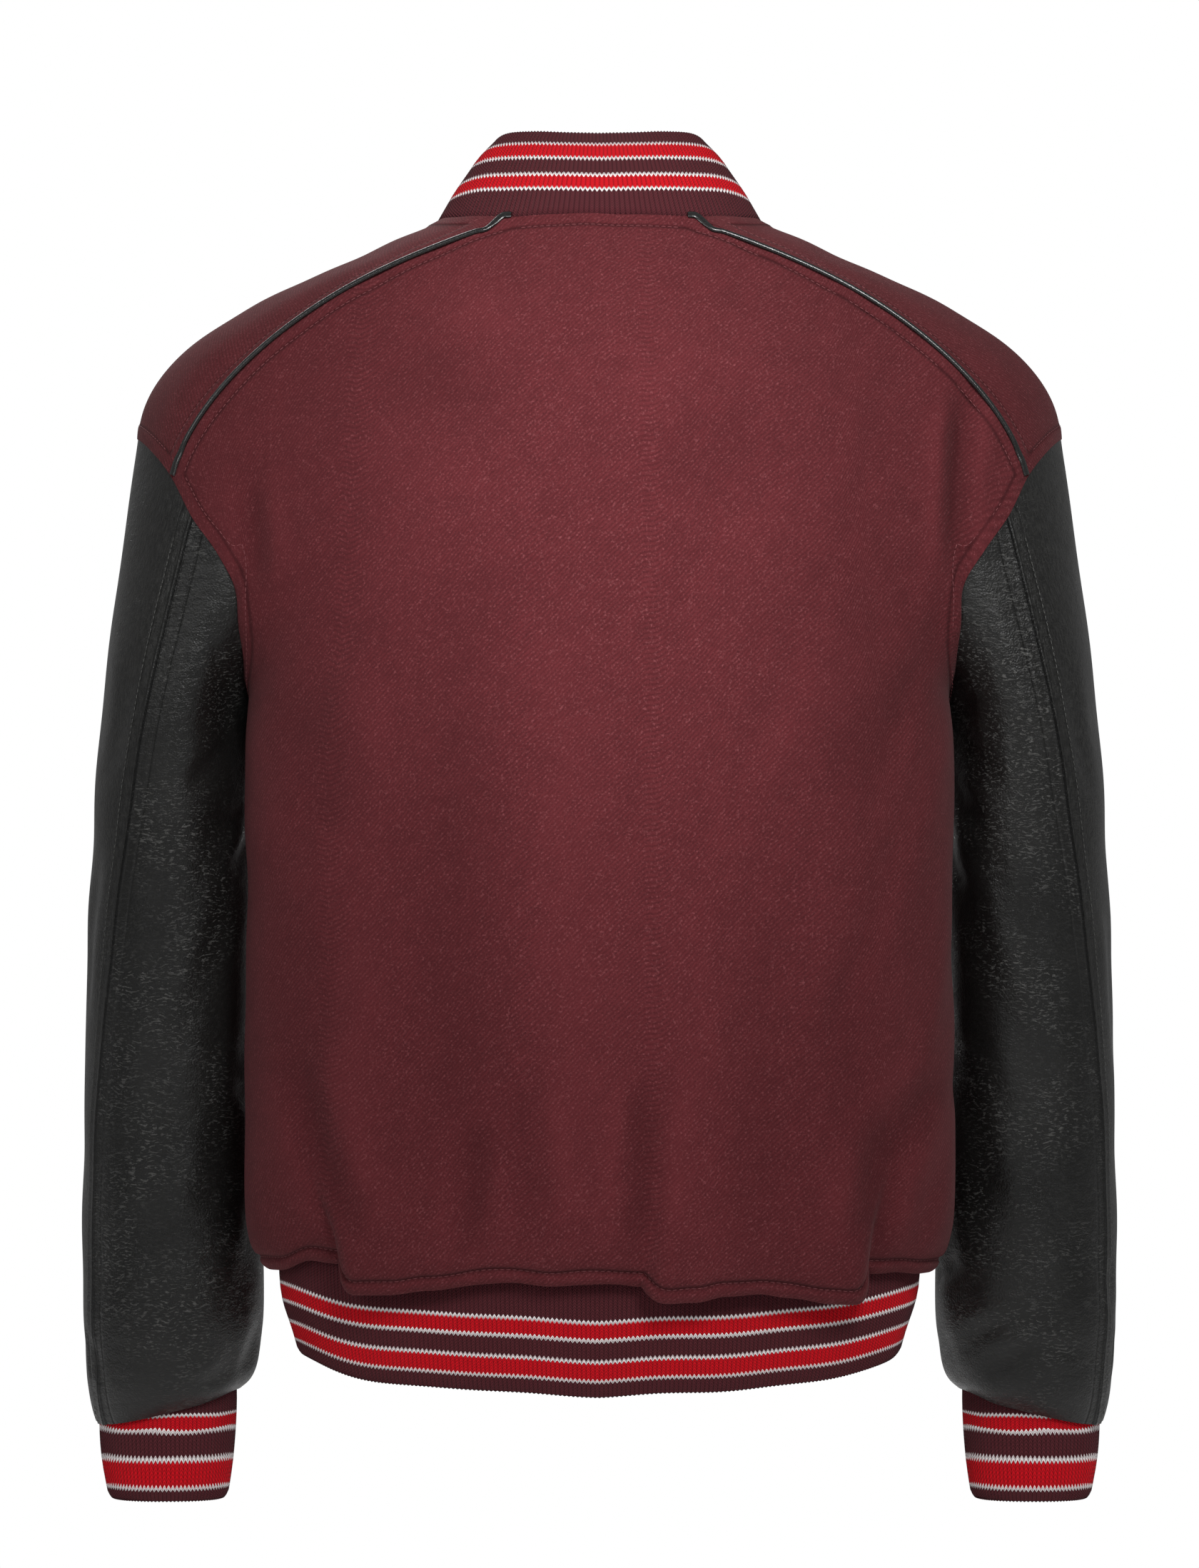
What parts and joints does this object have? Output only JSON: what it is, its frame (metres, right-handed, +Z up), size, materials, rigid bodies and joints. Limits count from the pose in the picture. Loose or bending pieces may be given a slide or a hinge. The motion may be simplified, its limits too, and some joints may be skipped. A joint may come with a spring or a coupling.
{
  "type": "varsity jacket",
  "caption": "Filled-out, hollow varsity jacket: wool body, leather sleeves, piped back shoulder seams and striped ribbed collar, cuffs and hem band.",
  "frame": {"origin": "the middle of the neck's base, level with the collar seam at the back, where the wearer's shoulders carry the jacket", "axes": "+Z up the body, +Y towards the wearer's back, +X towards the wearer's left"},
  "size_m": [0.614, 0.2812, 0.8077],
  "materials": {
    "wool": "burgundy wool melton, matt and slightly fuzzy",
    "leather": "black grained leather, semi-gloss",
    "rib": "burgundy rib knit with two red stripes edged in white",
    "metal": "dark enamelled press stud"
  },
  "bodies": {
    "root": {"back": "wool", "front_left": "wool", "front_right": "wool", "piping_left": "leather", "piping_right": "leather", "sleeve_upper_left": "leather", "sleeve_upper_right": "leather", "sleeve_under_left": "leather", "sleeve_under_right": "leather", "collar_rib": "rib", "cuff_left": "rib", "cuff_right": "rib", "hem_rib": "rib", "stud_1": "metal", "stud_2": "metal", "stud_3": "metal", "stud_4": "metal", "stud_5": "metal", "stud_6": "metal", "stud_7": "metal"}
  },
  "joints": []
}
